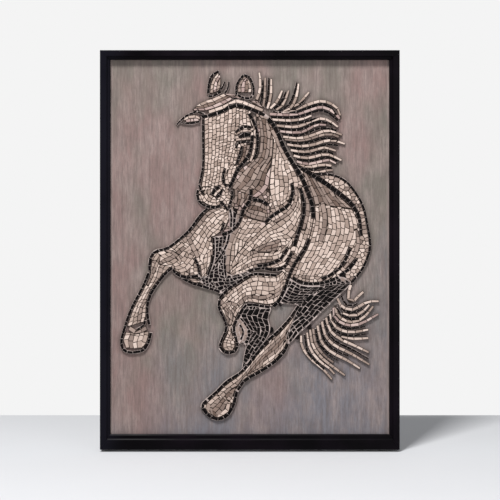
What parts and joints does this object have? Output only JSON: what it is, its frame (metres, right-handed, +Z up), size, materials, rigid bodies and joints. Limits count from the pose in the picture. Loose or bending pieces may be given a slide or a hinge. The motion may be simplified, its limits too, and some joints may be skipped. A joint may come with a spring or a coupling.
{
  "type": "mosaic panel",
  "caption": "Framed wall panel with a galloping horse in split-stone mosaic on a painted board, black mitred frame, flat back.",
  "frame": {"origin": "centre of the flat back, on the wall plane", "axes": "+Z up, -Y out of the picture towards the viewer, +X to the viewer's right, +Y into the wall"},
  "size_m": [0.6, 0.026, 0.8],
  "materials": {
    "black_satin": "satin black lacquer on a wooden moulding",
    "taupe_board": "matt taupe-grey paint with vertical brushed streaks on a wooden board",
    "cream_stone": "hand-split cream limestone, with pinkish and brown pieces among it, unpolished",
    "black_stone": "hand-split black stone with a slight sheen, pale joints"
  },
  "bodies": {
    "root": {"backing_board": "taupe_board", "barrel_stones": "cream_stone", "belly_and_thigh_stones": "black_stone", "chest_stones": "black_stone", "croup_stones": "cream_stone", "far_foreleg_stones": "cream_stone", "far_hind_leg_stones": "black_stone", "forelock_stones": "cream_stone", "frame_rail_bottom": "black_satin", "frame_rail_left": "black_satin", "frame_rail_right": "black_satin", "frame_rail_top": "black_satin", "head_stones": "cream_stone", "left_ear_stones": "cream_stone", "mane_lock_1": "cream_stone", "mane_lock_2": "cream_stone", "mane_lock_3": "cream_stone", "mane_lock_4": "cream_stone", "mane_lock_5": "cream_stone", "mane_lock_6": "cream_stone", "mane_lock_7": "cream_stone", "mane_lock_8": "cream_stone", "mane_lock_9": "cream_stone", "near_foreleg_stones": "cream_stone", "near_hind_leg_stones": "cream_stone", "neck_stones": "cream_stone", "right_ear_stones": "cream_stone", "shoulder_stones": "cream_stone", "tail_lock_1": "cream_stone", "tail_lock_2": "cream_stone", "tail_lock_3": "cream_stone", "tail_lock_4": "cream_stone", "tail_lock_5": "cream_stone", "tail_lock_6": "cream_stone", "tail_lock_7": "cream_stone"}
  },
  "joints": []
}
